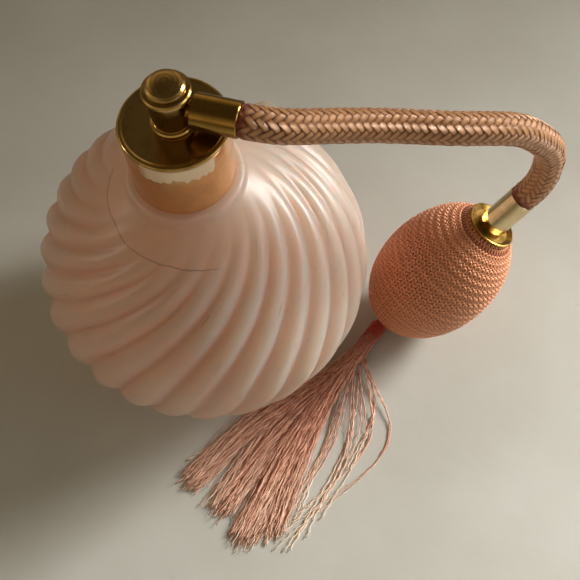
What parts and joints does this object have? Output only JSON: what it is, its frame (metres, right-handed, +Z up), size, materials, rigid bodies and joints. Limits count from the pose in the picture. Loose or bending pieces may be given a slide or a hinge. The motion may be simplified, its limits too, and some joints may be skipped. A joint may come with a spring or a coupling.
{
  "type": "perfume atomiser",
  "caption": "Squeeze-bulb perfume atomiser: swirl-ribbed frosted glass bottle with a screwed metal spray head, braided hose, netted rubber bulb and tassel.",
  "frame": {"origin": "centre of the bottle's flat foot, on the table", "axes": "+Z up along the bottle's axis, +X along the hose barrel, away from the spray nozzle"},
  "size_m": [0.1477, 0.1258, 0.1307],
  "materials": {
    "frosted_glass": "frosted",
    "rose_gold": "polished",
    "aged_brass": "polished, tarnished",
    "bright_brass": "polished",
    "pale_gold": "polished",
    "nickel": "polished",
    "steel_ball": "polished",
    "liner_plastic": "satin",
    "siphon_plastic": "gloss",
    "seal_rubber": "matte",
    "tan_rubber": "matte",
    "satin_braid": "satin",
    "knit_net": "satin",
    "binding_thread": "satin",
    "tassel_thread": "satin"
  },
  "bodies": {
    "bottle": {"glass_bottle": "frosted_glass"},
    "head": {"neck_gasket": "seal_rubber", "head_hub": "liner_plastic", "top_plate": "aged_brass", "spray_post": "aged_brass", "spray_nozzle": "aged_brass", "hose_barrel": "aged_brass", "hose_nipple": "nickel", "siphon_bush": "seal_rubber", "siphon_tube": "siphon_plastic"},
    "collar": {"collar_shell": "rose_gold", "collar_liner": "liner_plastic"},
    "stem_seal": {"closure_seal": "seal_rubber"},
    "knob": {"closure_stem": "bright_brass", "closure_knob": "aged_brass"},
    "bulb": {"hose_core": "tan_rubber", "hose_braid": "satin_braid", "hose_ferrule": "pale_gold", "bulb_flange": "bright_brass", "bulb_nipple": "nickel", "clamp_nut": "bright_brass", "rubber_bulb": "tan_rubber", "net_cover": "knit_net", "intake_valve_body": "nickel", "ball_retainer": "nickel"},
    "intake_ball": {"intake_ball": "steel_ball"},
    "tassel": {"tassel_binding": "binding_thread", "tassel": "tassel_thread"}
  },
  "joints": [
    {"name": "head_lift", "type": "slide", "parent": "bottle", "child": "head", "axis": [0, 0, 1], "range_m": [0, 0.00375]},
    {"name": "collar_turn", "type": "hinge", "parent": "head", "child": "collar", "pos_m": [0, 0, 0.1], "axis": [0, 0, 1], "range_deg": [0, 450]},
    {"name": "closure_lift", "type": "slide", "parent": "head", "child": "stem_seal", "axis": [0, 0, 1], "range_m": [0, 0.001]},
    {"name": "closure_turn", "type": "hinge", "parent": "stem_seal", "child": "knob", "pos_m": [0, 0, 0.128], "axis": [0, 0, 1], "range_deg": [0, 360]},
    {"name": "hose_flex", "type": "hinge", "parent": "head", "child": "bulb", "pos_m": [0.018, 0, 0.1215], "axis": [0.4147, -0.91, 0], "range_deg": [0, 30], "deforming": ["hose_core", "hose_braid", "tassel"]},
    {"name": "tassel_swing", "type": "hinge", "parent": "bulb", "child": "tassel", "pos_m": [0.0545, 0.0115, 0.0032], "axis": [-0.9326, 0.361, 0], "range_deg": [0, 8]},
    {"name": "bulb_squeeze", "type": "slide", "parent": "bulb", "child": "intake_ball", "axis": [0.4819, 0.2976, 0.8241], "range_m": [0, 0.001], "deforming": ["rubber_bulb", "net_cover"]}
  ],
  "couplings": [
    {"joint": "collar_turn", "follows": "head_lift", "rad_per_m": 2094.4},
    {"joint": "closure_turn", "follows": "closure_lift", "rad_per_m": 6283.2},
    {"joint": "tassel_swing", "follows": "hose_flex", "ratio": 0.2}
  ]
}
